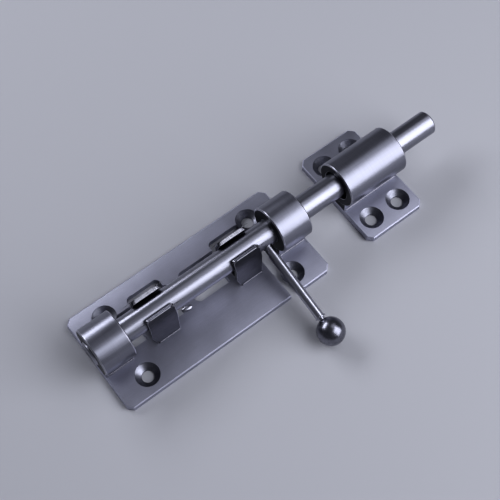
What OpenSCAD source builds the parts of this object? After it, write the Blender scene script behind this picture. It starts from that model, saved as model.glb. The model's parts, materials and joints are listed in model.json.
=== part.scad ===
// Toggle bolt latch: a round bolt in two tube guides on a screwed plate, with a drop-down ball
// handle and a keeper.
// Origin: centre of the base plate's underside. +X runs along the bolt to its tip, +Z away from the door.

/* [Base plate] */
// Length of the base plate, along the bolt
plate_l = 100; // [96:1:110]
// Width of the base plate
plate_w = 46.6; // [44:0.2:60]
// Thickness of both plates
plate_t = 3; // [2.6:0.1:4]
// Size of the cut corners of both plates
corner_cut = 2.2; // [1:0.1:4]
// Chamfer round the upper edge of both plates
edge_break = 0.4; // [0.2:0.1:0.5]
// Distance between the screw holes along the bolt
hole_dx = 72; // [72:1:76]
// Distance between the screw holes across the bolt
hole_dy = 30.4; // [29:0.2:34]

/* [Screw holes] */
// Diameter of the screw holes
hole_d = 5.2; // [4:0.1:5.4]
// Diameter of the countersinks at the plate's face
sink_d = 10.2; // [8:0.1:10.4]

/* [Windows] */
// Front edge of the windows, from the bolt's centreline
window_front = -3; // [-4:0.5:-2]
// Back edge of the windows, from the bolt's centreline
window_back = 12.8; // [11:0.2:12.8]
// Width of the slot under the handle
handle_slot_w = 4; // [3.6:0.1:4]

/* [Bolt] */
// Diameter of the bolt
bolt_d = 10.5; // [9:0.5:10.5]
// Height of the bolt's axis above the plate's face
bolt_h = 14; // [13.5:0.5:15]
// Distance from the plate's centre to the bolt's tip
bolt_tip = 120.5; // [112:0.5:125]
// Distance that the bolt stands out of the rear guide
bolt_tail = 1; // [0.5:0.1:2]
// Radial running clearance of the bolt in its guides
running_gap = 0.05; // [0.02:0.01:0.1]

/* [Guides] */
// Outer diameter of the guides and of the keeper's tube
tube_d = 20.6; // [19:0.2:21]
// Length of each guide
guide_l = 14.2; // [12:0.2:14.4]
// Width of the foot that joins a tube to its plate
foot_w = 12.6; // [10:0.2:13]

/* [Saddles] */
// Length of a saddle, along the bolt
saddle_l = 12.8; // [11:0.2:12.8]
// Thickness of the saddles' sheet
saddle_t = 1.6; // [1.2:0.1:2]
// Height of a saddle's legs above the plate's face
saddle_h = 20.5; // [19:0.5:21]
// Angle by which the upper half of each leg leans in over the bolt
saddle_lean = 17; // [10:1:20]
// Centre of the rear saddle, from the plate's centre
rear_saddle_x = -20.7; // [-21.4:0.1:-20.4]
// Centre of the front saddle, from the plate's centre
front_saddle_x = 20.4; // [19.8:0.1:20.4]

/* [Handle] */
// Place of the handle along the bolt, from the plate's centre
handle_x = 31.2; // [31:0.1:31.2]
// Diameter of the handle's stem
stem_d = 3.8; // [3.4:0.1:3.9]
// Diameter of the stud that holds the ball
stud_d = 2.8; // [2.4:0.1:3]
// Diameter of the thin collar at the stem's end
collar_d = 4.5; // [4.4:0.1:5]
// Thickness of the collar
collar_l = 0.6; // [0.4:0.1:1]
// Length of bare stud between the collar and the ball
neck_l = 0.7; // [0.4:0.1:1.5]
// Distance from the bolt's axis to the centre of the ball
ball_reach = 46.9; // [44:0.1:50]
// Diameter of the ball
ball_d = 11.8; // [10:0.1:12.4]
// Gap between the hanging ball and the plane of the plate's underside
ball_gap = 0.3; // [0.2:0.1:1]

/* [Keeper] */
// Length of the keeper's plate, along the bolt
keeper_l = 29.4; // [28:0.2:32]
// Width of the keeper's plate
keeper_w = 47.4; // [46:0.2:52]
// Centre of the keeper, from the base plate's centre
keeper_x = 85.1; // [84:0.1:90]
// Distance between the keeper's screw holes along the bolt
keeper_dx = 14.2; // [13.6:0.2:15]
// Distance between the keeper's screw holes across the bolt
keeper_dy = 31.3; // [31:0.1:34]
// Inner diameter of the keeper's tube
keeper_bore_d = 13.2; // [12.8:0.1:14]

/* [Hidden] */
$fn = 96;

eps = 0.01;                              // cutters run this far past the faces they cut
bolt_r = bolt_d / 2;
bolt_z = plate_t + bolt_h;               // height of the bolt's axis
tube_r = tube_d / 2;
end_round = 0.7;                         // chamfer at the bolt's ends
rim = 0.4;                               // chamfer on the rims of the tubes
sink_h = (sink_d - hole_d) / 2;          // depth of a 90 degree countersink
corner_r = 2.5;                          // corner radius of the windows
relief_r = 2;                            // corner radius of the relief slots

saddle_side_gap = 0.35;                  // gap between the upright part of a leg and the bolt
saddle_lean_gap = 0.25;                  // gap between the leaning part of a leg and the bolt
saddle_in = bolt_r + saddle_side_gap;    // inner faces of the saddle's legs, from the centreline
saddle_out = saddle_in + saddle_t;
saddle_top_r = 1.5;                      // rounded upper corners of the legs
leg_cut_l = 2;                           // cut lower corner of the legs: along the bolt
leg_cut_h = 7;                           // and upwards

drop_angle = asin((bolt_z - ball_d / 2 - ball_gap) / ball_reach);
ball_start = ball_reach - ball_d / 2;    // where the ball begins, from the bolt's axis
collar_start = ball_start - neck_l - collar_l;
socket_depth = 3;                        // how far the stud goes into the ball
keeper_drop = 0.8;                       // the keeper's tube sits this far below the bolt's axis
keeper_z = bolt_z - keeper_drop;

steel_plate = [0.52, 0.52, 0.58];
steel_tube = [0.45, 0.45, 0.50];
steel_bolt = [0.62, 0.62, 0.68];
steel_knob = [0.33, 0.33, 0.36];

// A cylinder along +X between two places, centred on y = 0
module x_cylinder(x0, x1, r, z) {
    translate([x0, 0, z])
        rotate([0, 90, 0])
            cylinder(h = x1 - x0, r = r);
}

// A cone along +X, from radius r0 at x0 to radius r1 at x1
module x_cone(x0, x1, r0, r1, z) {
    translate([x0, 0, z])
        rotate([0, 90, 0])
            cylinder(h = x1 - x0, r1 = r0, r2 = r1);
}

// Outline of a plate with its four corners cut at 45 degrees
module cut_corner_outline(l, w, c) {
    x = l / 2;
    y = w / 2;
    polygon([[-x + c, -y], [x - c, -y], [x, -y + c], [x, y - c],
             [x - c, y], [-x + c, y], [-x, y - c], [-x, -y + c]]);
}

// Prisms that chamfer the upper edge of a plate with cut corners
module upper_chamfer(l, w, c) {
    reach = l + w;
    corner = (l / 2 + w / 2 - c) / sqrt(2);
    for (side = [[0, l / 2], [90, w / 2], [180, l / 2], [270, w / 2],
                 [45, corner], [135, corner], [225, corner], [315, corner]])
        rotate([0, 0, side[0]])
            translate([0, reach / 2, 0])
                rotate([90, 0, 0])
                    linear_extrude(reach)
                        polygon([[side[1] - edge_break - eps, plate_t + eps],
                                 [side[1] + eps, plate_t - edge_break - eps],
                                 [side[1] + eps, plate_t + eps]]);
}

// Outline of a rectangle with round corners
module round_outline(x0, x1, y0, y1, r) {
    translate([x0 + r, y0]) square([x1 - x0 - 2 * r, y1 - y0]);
    translate([x0, y0 + r]) square([x1 - x0, y1 - y0 - 2 * r]);
    for (x = [x0 + r, x1 - r], y = [y0 + r, y1 - r])
        translate([x, y]) circle(r = r);
}

// Four countersunk screw holes on a rectangle
module screw_holes(dx, dy) {
    for (x = [-dx / 2, dx / 2], y = [-dy / 2, dy / 2])
        translate([x, y, 0]) {
            translate([0, 0, -eps]) cylinder(h = plate_t + 2 * eps, d = hole_d);
            translate([0, 0, plate_t - sink_h])
                cylinder(h = sink_h + eps, d1 = hole_d, d2 = sink_d + 2 * eps);
        }
}

// The windows, which leave a pad of plate under each saddle's foot, the relief slots behind
// the saddles and the slot under the handle
module base_openings() {
    guide_in = plate_l / 2 - guide_l;
    window_end = 0.3;                    // plate left between a window and a guide's foot
    bridge_x = -5.3;                     // the bridge between the two windows
    bridge_half = 2.75;
    relief_l = 15.8;                     // the relief slots reach past their saddles towards the tip
    relief_shift = 3.4;
    relief_depth = 3.7;                  // and this far past the windows' back edge
    relief_back = window_back + relief_depth;
    pad_margin = 0.6;                    // margin of the pads round the saddles' feet
    pad_back = saddle_out + pad_margin;
    difference() {
        union() {
            round_outline(-guide_in + window_end, bridge_x - bridge_half,
                          window_front, window_back, corner_r);
            round_outline(bridge_x + bridge_half, guide_in - window_end,
                          window_front, window_back, corner_r);
            for (x = [rear_saddle_x, front_saddle_x])
                round_outline(x + relief_shift - relief_l / 2, x + relief_shift + relief_l / 2,
                              window_front + corner_r, relief_back, relief_r);
        }
        for (x = [rear_saddle_x, front_saddle_x])
            translate([x - saddle_l / 2 - pad_margin, window_front - eps])
                square([saddle_l + 2 * pad_margin, pad_back - window_front + eps]);
    }
    translate([handle_x - handle_slot_w / 2, -plate_w / 2 - eps])
        square([handle_slot_w, plate_w / 2 + window_front + corner_r + 2 * eps]);
}

// A round tube on a foot, with its rims chamfered; the foot stands on the plate's face
module footed_tube(x0, x1, z, bore_d) {
    difference() {
        union() {
            x_cone(x0, x0 + rim, tube_r - rim, tube_r, z);
            x_cylinder(x0 + rim, x1 - rim, tube_r, z);
            x_cone(x1 - rim, x1, tube_r, tube_r - rim, z);
            translate([x0 + rim, -foot_w / 2, plate_t])
                cube([x1 - x0 - 2 * rim, foot_w, z - plate_t]);
        }
        x_cylinder(x0 - eps, x1 + eps, bore_d / 2, z);
    }
}

// Section of a saddle: a web on the plate and two legs, which lean in above the bolt's widest line
module saddle_section() {
    touch = bolt_r + saddle_lean_gap;
    slide = (touch * cos(saddle_lean) - saddle_in) / sin(saddle_lean);
    kink_h = bolt_h + touch * sin(saddle_lean) + slide * cos(saddle_lean);
    out_kink_h = kink_h + saddle_t * tan(saddle_lean / 2);
    in_h = saddle_h - saddle_t * sin(saddle_lean);
    in_y = saddle_in - (in_h - kink_h) * tan(saddle_lean);
    out_y = in_y + saddle_t * cos(saddle_lean);
    right = [[saddle_in, saddle_t], [saddle_in, kink_h], [in_y, in_h],
             [out_y, saddle_h], [saddle_out, out_kink_h], [saddle_out, 0]];
    left = [for (i = [len(right) - 1:-1:0]) [-right[i].x, right[i].y]];
    polygon(concat(right, left));
}

// Side outline of a saddle: upper corners rounded, one lower corner cut
module saddle_side() {
    l = saddle_l;
    h = saddle_h;
    r = saddle_top_r;
    polygon([[leg_cut_l, -eps], [l, -eps], [l, h - r], [0, h - r], [0, leg_cut_h]]);
    translate([r, h - r - eps]) square([l - 2 * r, r + eps]);
    for (x = [r, l - r])
        translate([x, h - r]) circle(r = r);
}

// A saddle of bent sheet that clasps the bolt from below
module saddle(x) {
    translate([x - saddle_l / 2, 0, plate_t])
        intersection() {
            rotate([90, 0, 90])
                linear_extrude(saddle_l)
                    saddle_section();
            translate([0, saddle_out + eps, 0])
                rotate([90, 0, 0])
                    linear_extrude(2 * (saddle_out + eps))
                        saddle_side();
        }
}

// Places its children with +Z along the handle, from the bolt's axis towards the hanging ball
module along_handle() {
    translate([handle_x, 0, bolt_z])
        rotate([90 + drop_angle, 0, 0])
            children();
}

module base_plate() {
    color(steel_plate)
        difference() {
            linear_extrude(plate_t)
                difference() {
                    cut_corner_outline(plate_l, plate_w, corner_cut);
                    base_openings();
                }
            screw_holes(hole_dx, hole_dy);
            upper_chamfer(plate_l, plate_w, corner_cut);
        }
}

module rear_guide() {
    color(steel_tube)
        footed_tube(-plate_l / 2, -plate_l / 2 + guide_l, bolt_z, bolt_d + 2 * running_gap);
}

module front_guide() {
    color(steel_tube)
        footed_tube(plate_l / 2 - guide_l, plate_l / 2, bolt_z, bolt_d + 2 * running_gap);
}

module rear_saddle() {
    color(steel_tube) saddle(rear_saddle_x);
}

module front_saddle() {
    color(steel_tube) saddle(front_saddle_x);
}

module bolt_rod() {
    tail = -plate_l / 2 - bolt_tail;
    color(steel_bolt) {
        x_cone(tail, tail + end_round, bolt_r - end_round, bolt_r, bolt_z);
        x_cylinder(tail + end_round, bolt_tip - end_round, bolt_r, bolt_z);
        x_cone(bolt_tip - end_round, bolt_tip, bolt_r, bolt_r - end_round, bolt_z);
    }
}

module handle_stem() {
    color(steel_bolt)
        difference() {
            along_handle() {
                cylinder(h = collar_start, d = stem_d);
                cylinder(h = ball_start + socket_depth, d = stud_d);
            }
            x_cylinder(handle_x - stem_d, handle_x + stem_d, bolt_r + running_gap, bolt_z);
        }
}

module handle_collar() {
    color(steel_bolt)
        along_handle()
            translate([0, 0, collar_start])
                difference() {
                    cylinder(h = collar_l, d = collar_d);
                    translate([0, 0, -eps]) cylinder(h = collar_l + 2 * eps, d = stud_d);
                }
}

module handle_knob() {
    color(steel_knob)
        along_handle()
            difference() {
                translate([0, 0, ball_reach]) sphere(d = ball_d);
                cylinder(h = ball_start + socket_depth, d = stud_d);
            }
}

module keeper_plate() {
    color(steel_plate)
        translate([keeper_x, 0, 0])
            difference() {
                linear_extrude(plate_t) cut_corner_outline(keeper_l, keeper_w, corner_cut);
                screw_holes(keeper_dx, keeper_dy);
                upper_chamfer(keeper_l, keeper_w, corner_cut);
            }
}

module keeper_tube() {
    color(steel_tube)
        footed_tube(keeper_x - keeper_l / 2, keeper_x + keeper_l / 2, keeper_z, keeper_bore_d);
}

base_plate();
rear_guide();
front_guide();
rear_saddle();
front_saddle();
bolt_rod();
handle_stem();
handle_collar();
handle_knob();
keeper_plate();
keeper_tube();
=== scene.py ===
"""Looks for the toggle bolt latch: steel finishes, weld and edge detail, floor, lights and camera."""
import itertools
import json
import math
import random

import bmesh
import bpy
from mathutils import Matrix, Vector


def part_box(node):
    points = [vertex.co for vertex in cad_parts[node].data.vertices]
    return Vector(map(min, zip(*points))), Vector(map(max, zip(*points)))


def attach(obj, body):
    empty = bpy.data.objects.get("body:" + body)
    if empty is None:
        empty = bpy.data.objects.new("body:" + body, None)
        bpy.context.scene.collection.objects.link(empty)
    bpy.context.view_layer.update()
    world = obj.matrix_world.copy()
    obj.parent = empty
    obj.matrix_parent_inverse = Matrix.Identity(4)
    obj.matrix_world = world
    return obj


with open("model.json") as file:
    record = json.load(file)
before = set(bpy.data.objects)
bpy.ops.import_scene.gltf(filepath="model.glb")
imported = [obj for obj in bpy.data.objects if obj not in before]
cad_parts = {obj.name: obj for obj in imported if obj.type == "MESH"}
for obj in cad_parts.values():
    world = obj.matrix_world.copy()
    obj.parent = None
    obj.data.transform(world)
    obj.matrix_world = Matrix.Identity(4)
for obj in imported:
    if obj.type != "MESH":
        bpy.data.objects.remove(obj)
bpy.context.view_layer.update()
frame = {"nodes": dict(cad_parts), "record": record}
NODES = frame["nodes"]
MM = 0.001
MOUNTS = {mount["name"]: mount for mount in frame["record"]["mounts"]}


# ---------------------------------------------------------------- places, worked out from the frame

BOLT_LOW, BOLT_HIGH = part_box("bolt_rod")
BOLT_Z = (BOLT_LOW.z + BOLT_HIGH.z) / 2
BOLT_R = (BOLT_HIGH.z - BOLT_LOW.z) / 2
PLATE_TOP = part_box("base_plate")[1].z
KNOB_CENTRE = (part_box("handle_knob")[0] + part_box("handle_knob")[1]) / 2
HANDLE_ROOT = Vector((KNOB_CENTRE.x, 0, BOLT_Z))
HANDLE_WAY = (KNOB_CENTRE - HANDLE_ROOT).normalized()
FOOT_HALF = 6.3 * MM                              # half the width of a tube's foot
SEAM_LEG = 0.5 * MM                               # size of the brazed seams
SINK_TOP_R = 5.1 * MM                             # radius of a countersink at the plate's face
SINK_EDGE = 0.05 * MM                             # the dark finish reaches this far past a countersink
RING_PITCH = 0.33 * MM                            # spacing of the turned rings on sawn ends
FLAT_HALF = 11 * MM                               # the plates are flat this far from the centreline,
ROLL_PER_METRE = math.radians(8) / (12 * MM)      # and past it their shading rolls off at this rate
SADDLE_SHEET = 1.6 * MM                           # thickness of the saddles' sheet
SADDLE_LEAN = math.radians(17)                    # lean of the legs' upper halves
SADDLE_OUTER_TOP = 5.436 * MM                     # outer upper edge of a leg, from the centreline
SADDLE_CORNER_R = 1.5 * MM                        # rounded upper corners of the legs
SADDLE_CUT = 2.1 * MM                             # the foot line starts past the leg's cut lower corner
STEM_GAP = 0.05 * MM                              # gap between the stem's root and the bolt
BED = 0.05 * MM                                   # pieces sink this far into what they lie on


# ---------------------------------------------------------------- shader helpers

class Shader:
    """A metal material, with short calls for the shader nodes that it needs."""

    def __init__(self, name, base, roughness):
        self.material = bpy.data.materials.new(name)
        self.material.use_nodes = True
        self.tree = self.material.node_tree
        self.bsdf = self.tree.nodes["Principled BSDF"]
        self.bsdf.inputs["Base Color"].default_value = (*base, 1.0)
        self.bsdf.inputs["Metallic"].default_value = 1.0
        self.bsdf.inputs["Roughness"].default_value = roughness
        self.place = self.node("ShaderNodeTexCoord")

    def node(self, kind, **settings):
        made = self.tree.nodes.new(kind)
        for key, value in settings.items():
            setattr(made, key, value)
        return made

    def put(self, socket, value):
        if isinstance(value, bpy.types.NodeSocket):
            self.tree.links.new(value, socket)
        else:
            socket.default_value = value

    def axes(self, kind="Object"):
        """The x, y and z of the surface's place, or of its normal."""
        split = self.node("ShaderNodeSeparateXYZ")
        self.put(split.inputs[0], self.place.outputs[kind])
        return split.outputs[0], split.outputs[1], split.outputs[2]

    def noise(self, scale, detail=2.0, rough=0.5):
        mapping = self.node("ShaderNodeMapping")
        self.put(mapping.inputs["Vector"], self.place.outputs["Object"])
        mapping.inputs["Scale"].default_value = scale
        made = self.node("ShaderNodeTexNoise")
        self.put(made.inputs["Vector"], mapping.outputs["Vector"])
        made.inputs["Scale"].default_value = 1.0
        made.inputs["Detail"].default_value = detail
        made.inputs["Roughness"].default_value = rough
        return made.outputs["Fac"]

    def math(self, operation, a, b=0.0):
        made = self.node("ShaderNodeMath", operation=operation)
        self.put(made.inputs[0], a)
        self.put(made.inputs[1], b)
        return made.outputs[0]

    def length(self, a, b):
        return self.math("SQRT", self.math("ADD", self.math("MULTIPLY", a, a), self.math("MULTIPLY", b, b)))

    def ramp(self, value, low, high, out_low=0.0, out_high=1.0):
        made = self.node("ShaderNodeMapRange")
        self.put(made.inputs["Value"], value)
        for key, number in (("From Min", low), ("From Max", high), ("To Min", out_low), ("To Max", out_high)):
            made.inputs[key].default_value = number
        return made.outputs["Result"]

    def mix(self, factor, first, second):
        made = self.node("ShaderNodeMix", data_type="RGBA")
        self.put(made.inputs[0], factor)
        self.put(made.inputs[6], first)
        self.put(made.inputs[7], second)
        return made.outputs[2]

    def blend(self, factor, first, second):
        made = self.node("ShaderNodeMix", data_type="FLOAT")
        self.put(made.inputs[0], factor)
        self.put(made.inputs[2], first)
        self.put(made.inputs[3], second)
        return made.outputs[0]

    def colour(self, value):
        self.put(self.bsdf.inputs["Base Color"], value)

    def roughness(self, value):
        self.put(self.bsdf.inputs["Roughness"], value)

    def bump(self, height, distance, strength=1.0):
        made = self.node("ShaderNodeBump")
        made.inputs["Strength"].default_value = strength
        made.inputs["Distance"].default_value = distance
        self.put(made.inputs["Height"], height)
        self.put(self.bsdf.inputs["Normal"], made.outputs["Normal"])


def shade(colour, factor):
    return (*(channel * factor for channel in colour), 1.0)


# ---------------------------------------------------------------- materials

PLATE_COLOUR = (0.440, 0.442, 0.510)
TUBE_COLOUR = (0.300, 0.302, 0.345)
BOLT_COLOUR = (0.340, 0.342, 0.385)
# painted shade: the saddles' steel is made near black, as if it lay in shadow
SADDLE_SHADE_COLOUR = (0.100, 0.100, 0.116)
STEM_COLOUR = (0.560, 0.560, 0.620)
KNOB_COLOUR = (0.250, 0.250, 0.285)
# partly the bare metal of a cut, partly painted highlight: the back legs' cut faces
LIT_CUT_COLOUR = (0.560, 0.560, 0.600)
# painted shade: the front legs' cut faces, only a little lighter than the saddles
SHADED_CUT_COLOUR = tuple(channel * 1.6 for channel in SADDLE_SHADE_COLOUR)
# edge wear with painted highlight: the bright finish of the rounded edges
EDGE_WEAR_AND_GLINT_COLOUR = (0.520, 0.520, 0.570)
# the same for the saddles' rounded edges and the weld tack: wear with painted highlight
SADDLE_EDGE_WEAR_AND_GLINT_COLOUR = (0.420, 0.420, 0.460)
SINK_COLOUR = (0.270, 0.272, 0.310)
WELD_COLOUR = (0.260, 0.260, 0.290)

EVEN_GRAIN = (900, 900, 900)
SHEAR_GRAIN = (2600, 200, 200)


def holes_distance(shader, mount):
    """Distance in the plate's plane from the nearest hole of a four-hole mount."""
    centre, dims = mount["pos_m"], mount["dims"]
    x, y, _ = shader.axes()
    across = shader.math("SUBTRACT", shader.math("ABSOLUTE", shader.math("SUBTRACT", x, centre[0])),
                         dims["spacing_x_mm"] * MM / 2)
    along = shader.math("SUBTRACT", shader.math("ABSOLUTE", shader.math("SUBTRACT", y, centre[1])),
                        dims["spacing_y_mm"] * MM / 2)
    return shader.length(across, along)


def plate_finish(name, mount):
    """Satin sheet with a fine grain and cloudy patches, darker in the holes and brighter at the edges:
    streaked on the cut sides, with a painted highlight on the chamfers.
    """
    shader = Shader(name, PLATE_COLOUR, 0.4)
    sink_r = SINK_TOP_R + SINK_EDGE
    grain = shader.noise((2600, 2600, 2600), 2.0, 0.6)
    brush = shader.noise((120, 3200, 3200), 3.0, 0.6)
    cloud = shader.noise((45, 45, 45), 3.0, 0.6)
    fine = shader.math("ADD", shader.math("MULTIPLY", grain, 0.5), shader.math("MULTIPLY", brush, 0.5))
    radius = holes_distance(shader, mount)
    in_sink = shader.ramp(radius, sink_r, sink_r - 0.1 * MM)
    _, _, up = shader.axes("Normal")
    level = shader.math("ABSOLUTE", up)
    cut = shader.ramp(level, 0.25, 0.1)
    chamfer_highlight = shader.ramp(level, 0.9, 0.8)
    sheet = shader.mix(shader.ramp(cloud, 0.3, 0.7), shade(PLATE_COLOUR, 0.88), shade(PLATE_COLOUR, 1.10))
    sheet = shader.mix(shader.ramp(fine, 0.35, 0.65, 0, 0.35), sheet, shade(PLATE_COLOUR, 0.75))
    turned = shader.mix(fine, shade(PLATE_COLOUR, 0.5), shade(PLATE_COLOUR, 0.8))
    edge = shader.mix(shader.ramp(brush, 0.35, 0.65), shade(PLATE_COLOUR, 0.8), shade(PLATE_COLOUR, 1.35))
    # painted highlight: the chamfered edges are made 1.6 times brighter than the sheet
    sheet = shader.mix(chamfer_highlight, sheet, shade(PLATE_COLOUR, 1.6))
    shader.colour(shader.mix(in_sink, shader.mix(cut, sheet, edge), turned))
    shader.roughness(shader.blend(in_sink, shader.ramp(cloud, 0.3, 0.7, 0.40, 0.48), 0.30))
    _, y, _ = shader.axes()
    past = shader.math("MAXIMUM", shader.math("SUBTRACT", shader.math("ABSOLUTE", y), FLAT_HALF), 0.0)
    crown = shader.math("MULTIPLY", shader.math("MULTIPLY", past, past), -0.5 * ROLL_PER_METRE)
    shader.bump(shader.math("ADD", shader.math("MULTIPLY", fine, 0.003 * MM), crown), 1.0)
    return shader.material


def turned_finish(name, base, low, high, axis_z, end_tone_and_shade):
    """Polished round stock with faint rings and long streaks; the end faces carry turned rings and are
    darkened by the last factor: a sawn-end tone on the bolt, painted shade on the tubes.
    """
    shader = Shader(name, base, (low + high) / 2)
    turns = shader.noise((5200, 90, 90), 1.0, 0.5)
    streaks = shader.noise((60, 2600, 2600), 2.0, 0.5)
    cloud = shader.noise((110, 110, 110), 2.0)
    fine = shader.math("ADD", shader.math("MULTIPLY", turns, 0.5), shader.math("MULTIPLY", streaks, 0.5))
    _, y, z = shader.axes()
    radius = shader.length(y, shader.math("SUBTRACT", z, axis_z))
    rings = shader.math("SINE", shader.math("MULTIPLY", radius, math.tau / RING_PITCH))
    along, _, _ = shader.axes("Normal")
    is_end = shader.ramp(shader.math("ABSOLUTE", along), 0.90, 0.97)
    body = shader.mix(shader.ramp(fine, 0.3, 0.7), shade(base, 0.93), shade(base, 1.06))
    # end faces darkened: nearly black on the tubes, as painted shade
    end = shader.mix(shader.ramp(rings, -1, 1), shade(base, 0.75 * end_tone_and_shade), shade(base, end_tone_and_shade))
    shader.colour(shader.mix(is_end, body, end))
    wear = shader.math("ADD", shader.math("MULTIPLY", fine, 0.5), shader.math("MULTIPLY", cloud, 0.5))
    shader.roughness(shader.blend(is_end, shader.ramp(wear, 0.35, 0.65, low, high), 0.42))
    shader.bump(shader.blend(is_end, fine, shader.math("MULTIPLY", rings, 0.5)), 0.0025 * MM, 0.6)
    return shader.material


def plain_finish(name, base, grain, low, high, depth):
    """Satin metal: `grain` is the grain's scale along each axis, low and high bound the roughness."""
    shader = Shader(name, base, (low + high) / 2)
    fine = shader.noise(grain, 3.0, 0.6)
    cloud = shader.noise((150, 150, 150), 2.0)
    shader.colour(shader.mix(shader.ramp(fine, 0.35, 0.65), shade(base, 0.86), shade(base, 1.12)))
    shader.roughness(shader.ramp(cloud, 0.3, 0.7, low, high))
    shader.bump(fine, depth, 0.7)
    return shader.material


plate_steel = plate_finish("plate_steel", MOUNTS["base_screws"])
keeper_plate_steel = plate_finish("keeper_plate_steel", MOUNTS["keeper_screws"])
# the tubes' end faces are painted near black: painted shade at the mouths of the bores; the bolt's ends are
# only a little darker
tube_steel = turned_finish("tube_steel", TUBE_COLOUR, 0.32, 0.37, BOLT_Z, 0.16)
bolt_steel = turned_finish("bolt_steel", BOLT_COLOUR, 0.29, 0.34, BOLT_Z, 0.7)
# the saddles' near-black body colour is painted shade
saddle_steel = plain_finish("saddle_steel", SADDLE_SHADE_COLOUR, (500, 500, 2500), 0.30, 0.42, 0.006 * MM)
stem_steel = plain_finish("stem_steel", STEM_COLOUR, (2500, 150, 150), 0.26, 0.32, 0.003 * MM)
knob_steel = plain_finish("knob_steel", KNOB_COLOUR, (700, 700, 700), 0.25, 0.32, 0.004 * MM)
sheared_steel = plain_finish("sheared_steel", LIT_CUT_COLOUR, SHEAR_GRAIN, 0.25, 0.45, 0.06 * MM)
edge_wear_and_glint_steel = plain_finish("edge_wear_and_glint_steel", EDGE_WEAR_AND_GLINT_COLOUR, EVEN_GRAIN, 0.30, 0.42, 0.003 * MM)
saddle_edge_wear_and_glint_steel = plain_finish("saddle_edge_wear_and_glint_steel", SADDLE_EDGE_WEAR_AND_GLINT_COLOUR, EVEN_GRAIN, 0.30, 0.42, 0.003 * MM)
sink_steel = plain_finish("sink_steel", SINK_COLOUR, EVEN_GRAIN, 0.34, 0.42, 0.004 * MM)
weld_steel = plain_finish("weld_steel", WELD_COLOUR, (1500, 900, 900), 0.34, 0.48, 0.01 * MM)
shaded_cut_steel = plain_finish("shaded_cut_steel", SHADED_CUT_COLOUR, SHEAR_GRAIN, 0.35, 0.50,
                                  0.05 * MM)

LOOKS = {
    "base_plate": plate_steel, "keeper_plate": keeper_plate_steel,
    "rear_guide": tube_steel, "front_guide": tube_steel, "keeper_tube": tube_steel,
    "rear_saddle": saddle_steel, "front_saddle": saddle_steel,
    "bolt_rod": bolt_steel, "handle_stem": stem_steel, "handle_collar": stem_steel, "handle_knob": knob_steel,
}
EDGE_ROUNDING = {
    "rear_guide": 0.18, "front_guide": 0.18, "keeper_tube": 0.18,
    "rear_saddle": 0.25, "front_saddle": 0.25,
    "bolt_rod": 0.15, "handle_collar": 0.10,
}


def dress_node(name):
    """Gives a CAD node its material and, by modifiers only, small rounded edges in a brighter finish: edge
    wear with painted highlight.
    """
    node = NODES[name]
    node.data.materials.clear()
    node.data.materials.append(LOOKS[name])
    if name not in EDGE_ROUNDING:
        return
    # the rounded edges take a brighter finish: edge wear with painted highlight
    node.data.materials.append(saddle_edge_wear_and_glint_steel if "saddle" in name else edge_wear_and_glint_steel)
    weld = node.modifiers.new("weld", "WELD")
    weld.merge_threshold = 0.0005 * MM
    flat = node.modifiers.new("whole_flats", "DECIMATE")
    flat.decimate_type = "DISSOLVE"
    flat.angle_limit = math.radians(0.4)
    bevel = node.modifiers.new("rounded_edges", "BEVEL")
    bevel.width = EDGE_ROUNDING[name] * MM
    bevel.segments = 3
    bevel.material = 1
    bevel.use_clamp_overlap = False
    bevel.limit_method = "ANGLE"
    bevel.angle_limit = math.radians(28)
    normals = node.modifiers.new("even_normals", "WEIGHTED_NORMAL")
    normals.keep_sharp = False


for node_name in LOOKS:
    dress_node(node_name)


# ---------------------------------------------------------------- detail pieces

def new_piece(name, build, material, body, smooth=True):
    """Turns a built mesh into a piece that rides on a body."""
    mesh = bpy.data.meshes.new(name)
    bmesh.ops.recalc_face_normals(build, faces=build.faces)
    build.to_mesh(mesh)
    build.free()
    for face in mesh.polygons:
        face.use_smooth = smooth
    mesh.materials.append(material)
    piece = bpy.data.objects.new(name, mesh)
    bpy.context.scene.collection.objects.link(piece)
    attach(piece, body)


def loft(rings, endless=False):
    """Joins rings of points with quads, into a tube with capped ends or into an endless one."""
    build = bmesh.new()
    rows = [[build.verts.new(point) for point in ring] for ring in rings]
    count = len(rows[0])
    for first, second in zip(rows, rows[1:] + rows[:1] if endless else rows[1:]):
        for i in range(count):
            j = (i + 1) % count
            build.faces.new((first[i], first[j], second[j], second[i]))
    if not endless:
        build.faces.new(rows[0][::-1])
        build.faces.new(rows[-1])
    return build


def add_weld_seam(name, node, side, body):
    """A small concave braze fillet in the corner between a tube's foot and its plate."""
    low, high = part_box(node)
    inset = 0.6 * MM
    steps = 60
    foot, floor = FOOT_HALF - BED, PLATE_TOP - BED
    rand = random.Random(name)
    rings = []
    for step in range(steps + 1):
        x = low.x + inset + (high.x - low.x - 2 * inset) * step / steps
        reach = SEAM_LEG * (1 + 0.10 * rand.uniform(-1, 1)) * (0.35 if step in (0, steps) else 1.0)
        section = [(foot, floor), (foot, floor + reach + BED), (foot + 0.30 * reach, floor + 0.42 * reach),
                   (foot + reach, floor + 0.06 * MM), (foot + reach, floor)]
        rings.append([Vector((x, side * y, z)) for y, z in section])
    new_piece(name, loft(rings), weld_steel, body)


def add_foot_line(name, node):
    """The bright burr in the corner between a saddle's front leg and the plate."""
    low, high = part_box(node)
    start, end = low.x + SADDLE_CUT, high.x - 0.1 * MM
    reach = 0.42 * MM
    steps = 12
    face, floor = low.y + BED, PLATE_TOP - BED
    section = [(face, floor), (face, floor + 0.75 * reach), (face - 0.45 * reach, floor + 0.45 * reach),
               (face - reach, floor + 0.07 * MM), (face - reach, floor)]
    rings = [[Vector((start + (end - start) * step / steps, y, z)) for y, z in section]
             for step in range(steps + 1)]
    new_piece(name, loft(rings), weld_steel, "base")


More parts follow.
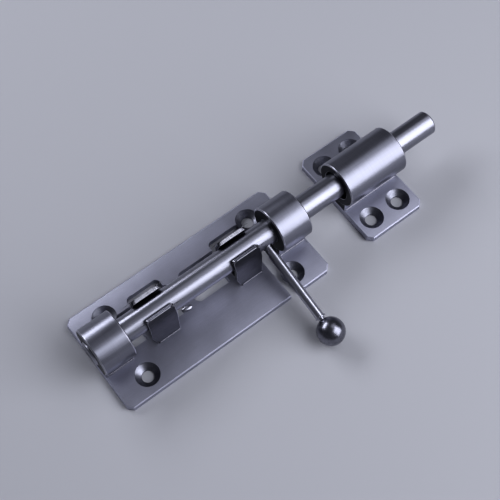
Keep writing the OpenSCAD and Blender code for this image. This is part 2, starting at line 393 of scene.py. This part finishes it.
def add_sheared_edge(name, node, side):
    """The cut end face of a saddle's leg: a thin strip with uneven shear marks across the sheet, painted
    bright on the back legs and painted dark as shade on the front legs.
    """
    low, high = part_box(node)
    trim = 0.25 * MM
    sunk, proud = 0.10 * MM, 0.03 * MM
    steps = 120
    out_top = Vector((0, SADDLE_OUTER_TOP, high.z))
    across = Vector((0, -math.cos(SADDLE_LEAN), -math.sin(SADDLE_LEAN)))
    normal = Vector((0, -math.sin(SADDLE_LEAN), math.cos(SADDLE_LEAN)))
    down_leg = Vector((0, math.tan(SADDLE_LEAN), -1))
    rand = random.Random(name)
    rings = []
    level = 0.0
    for step in range(steps + 1):
        x = low.x + trim + (high.x - low.x - 2 * trim) * step / steps
        into_corner = max(0.0, SADDLE_CORNER_R - min(x - low.x, high.x - x))
        drop = down_leg * (SADDLE_CORNER_R - math.sqrt(SADDLE_CORNER_R ** 2 - into_corner ** 2))
        level = 0.55 * level + rand.uniform(-0.035, 0.035) * MM
        top = normal * (proud + level * 0.6)
        edge = out_top + drop
        section = [edge + across * (0.12 * MM) - normal * sunk,
                   edge + across * (0.16 * MM) + top * 0.6,
                   edge + across * (0.5 * SADDLE_SHEET) + top,
                   edge + across * (SADDLE_SHEET - 0.22 * MM) + top * 0.8,
                   edge + across * (SADDLE_SHEET - 0.18 * MM) - normal * sunk]
        rings.append([Vector((x, side * point.y, point.z)) for point in section])
    # the back legs' cut faces get the bright copy, partly painted highlight; the front legs' get the copy
    # painted dark as shade
    metal = sheared_steel if side > 0 else shaded_cut_steel
    new_piece(name, loft(rings), metal, "base", smooth=False)


def add_tack(name, centre, radii, seed):
    """A small lumpy weld tack, half sunk in the plate."""
    rand = random.Random(seed)
    build = bmesh.new()
    bmesh.ops.create_icosphere(build, subdivisions=4, radius=1.0)
    waves = [(Vector((rand.uniform(-1, 1), rand.uniform(-1, 1), rand.uniform(-1, 1))) * 3, rand.uniform(0, 6))
             for _ in range(4)]
    for vert in build.verts:
        direction = vert.co.normalized()
        swell = 1 + 0.10 * sum(math.sin(direction.dot(wave) + phase) for wave, phase in waves)
        vert.co = centre + direction * radii * swell
    # the tack takes the saddles' bright edge finish: wear with painted highlight
    new_piece(name, build, saddle_edge_wear_and_glint_steel, "base")


def sink_profile():
    """Radius and height of a countersink's grooves, from the plate's face down and back underneath."""
    outer, inner = 4.95 * MM, 2.72 * MM
    grooves, samples = 4, 41
    under = 0.08 * MM
    slope = math.sqrt(0.5)
    profile = []
    for step in range(samples):
        share = step / (samples - 1)
        radius = outer + (inner - outer) * share
        proud = (0.03 + 0.17 * ((share * grooves) % 1.0)) * MM
        height = PLATE_TOP - (SINK_TOP_R - radius)
        profile.append((radius - slope * proud, height + slope * proud))
    for radius in (inner, outer):
        profile.append((radius, PLATE_TOP - (SINK_TOP_R - radius) - under))
    return profile


def add_turned_sinks(mount_name, body):
    """The turned grooves of each countersink: a thin stepped cone that lies on the drilled one."""
    mount = MOUNTS[mount_name]
    centre, dims = Vector(mount["pos_m"]), mount["dims"]
    half_x, half_y = dims["spacing_x_mm"] / 2 * MM, dims["spacing_y_mm"] / 2 * MM
    turns = 72
    profile = sink_profile()
    for number, (x_side, y_side) in enumerate(itertools.product((-1, 1), (-1, 1)), 1):
        hole = centre + Vector((x_side * half_x, y_side * half_y, 0))
        rings = []
        for turn in range(turns):
            angle = math.tau * turn / turns
            rings.append([hole + Vector((radius * math.cos(angle), radius * math.sin(angle), height))
                          for radius, height in profile])
        new_piece(f"{body}_sink_{number}", loft(rings, endless=True), sink_steel, body,
                  smooth=False)


def add_stem_root():
    """A small fillet of metal round the stem where it meets the bolt."""
    across = Vector((1, 0, 0))
    tangent = HANDLE_WAY.cross(across)
    profile = [(2.15, 0.03), (2.08, 0.10), (1.98, 0.25), (1.92, 0.48), (1.86, 0.52), (1.86, 0.02)]
    turns = 64
    rings = []
    for radius, lift in profile:
        ring = []
        for step in range(turns):
            angle = math.tau * step / turns
            u, v = radius * MM * math.cos(angle), radius * MM * math.sin(angle)
            height = math.sqrt((BOLT_R + STEM_GAP) ** 2 - v * v) + lift * MM
            ring.append(HANDLE_ROOT + across * u + tangent * v + HANDLE_WAY * height)
        rings.append(ring)
    new_piece("stem_root_fillet", loft(rings, endless=True), weld_steel, "handle")


for side_name, side in (("front", -1), ("back", 1)):
    add_weld_seam(f"rear_guide_seam_{side_name}", "rear_guide", side, "base")
    add_weld_seam(f"front_guide_seam_{side_name}", "front_guide", side, "base")
    add_weld_seam(f"keeper_seam_{side_name}", "keeper_tube", side, "keeper")
    add_sheared_edge(f"rear_saddle_sheared_{side_name}", "rear_saddle", side)
    add_sheared_edge(f"front_saddle_sheared_{side_name}", "front_saddle", side)

add_tack("saddle_tack_front", Vector((-7.5 * MM, -2.1 * MM, PLATE_TOP)), Vector((2.6, 1.1, 0.65)) * MM, 5)
add_foot_line("rear_saddle_foot_line", "rear_saddle")
add_foot_line("front_saddle_foot_line", "front_saddle")
add_stem_root()
add_turned_sinks("base_screws", "base")
add_turned_sinks("keeper_screws", "keeper")


# ---------------------------------------------------------------- floor, light and camera

FLOOR_HALF = 3.0                                  # half the floor's width, in metres
FLOOR_GAP = 0.05 * MM
LIGHT_COLOUR = (0.90, 0.92, 1.0)
LIGHTS_AIM = Vector((0.02, 0, 0.01))
MIRROR_TO_WATTS = 4.0                             # power of a square metre of light per unit of radiance


def make_floor():
    """A wide pale floor, just below the plates' undersides."""
    mesh = bpy.data.meshes.new("floor")
    build = bmesh.new()
    bmesh.ops.create_grid(build, x_segments=1, y_segments=1, size=FLOOR_HALF)
    build.to_mesh(mesh)
    build.free()
    floor = bpy.data.objects.new("floor", mesh)
    floor.location.z = -FLOOR_GAP
    bpy.context.scene.collection.objects.link(floor)
    paint = bpy.data.materials.new("pale_floor")
    paint.use_nodes = True
    bsdf = paint.node_tree.nodes["Principled BSDF"]
    bsdf.inputs["Base Color"].default_value = (0.54, 0.54, 0.56, 1)
    bsdf.inputs["Roughness"].default_value = 0.9
    mesh.materials.append(paint)


def soft_box(name, direction, distance, width, height, radiance):
    """A rectangular light that faces the latch, wide along X; radiance is what a mirror would show."""
    data = bpy.data.lights.new(name, "AREA")
    data.shape = "RECTANGLE"
    data.size = width
    data.size_y = height
    data.energy = MIRROR_TO_WATTS * radiance * width * height
    data.color = LIGHT_COLOUR
    light = bpy.data.objects.new(name, data)
    towards = Vector(direction).normalized()
    light.location = LIGHTS_AIM + towards * distance
    light.rotation_euler = towards.to_track_quat("Z", "Y").to_euler()
    bpy.context.scene.collection.objects.link(light)


def make_lights():
    """Soft studio light: a big box in front, a narrow one behind, a weak one above and a dim sky."""
    world = bpy.data.worlds.new("studio")
    world.use_nodes = True
    background = world.node_tree.nodes["Background"]
    background.inputs["Color"].default_value = (0.86, 0.88, 1.0, 1)
    background.inputs["Strength"].default_value = 0.10
    bpy.context.scene.world = world
    soft_box("main_box", (0.48, -0.65, 0.62), 0.8, 0.70, 0.84, 1.9)
    soft_box("back_box", (-0.24, 0.79, 0.58), 0.8, 0.60, 0.24, 3.9)
    soft_box("top_box", (0.45, 0.02, 0.89), 0.9, 0.50, 0.55, 0.55)


def make_camera():
    """A camera above the latch's front left corner, with the bolt rising to the right."""
    data = bpy.data.cameras.new("camera")
    data.sensor_width = 36.0
    data.lens = 74.65
    camera = bpy.data.objects.new("camera", data)
    camera.location = Vector((-81.7, -148.2, 387.8)) * MM
    camera.rotation_euler = [math.radians(angle) for angle in (25.955, 0.633, -37.302)]
    bpy.context.scene.collection.objects.link(camera)
    bpy.context.scene.camera = camera


make_floor()
make_lights()
make_camera()
bpy.context.scene.view_settings.view_transform = "Standard"
bpy.context.scene.view_settings.look = "High Contrast"
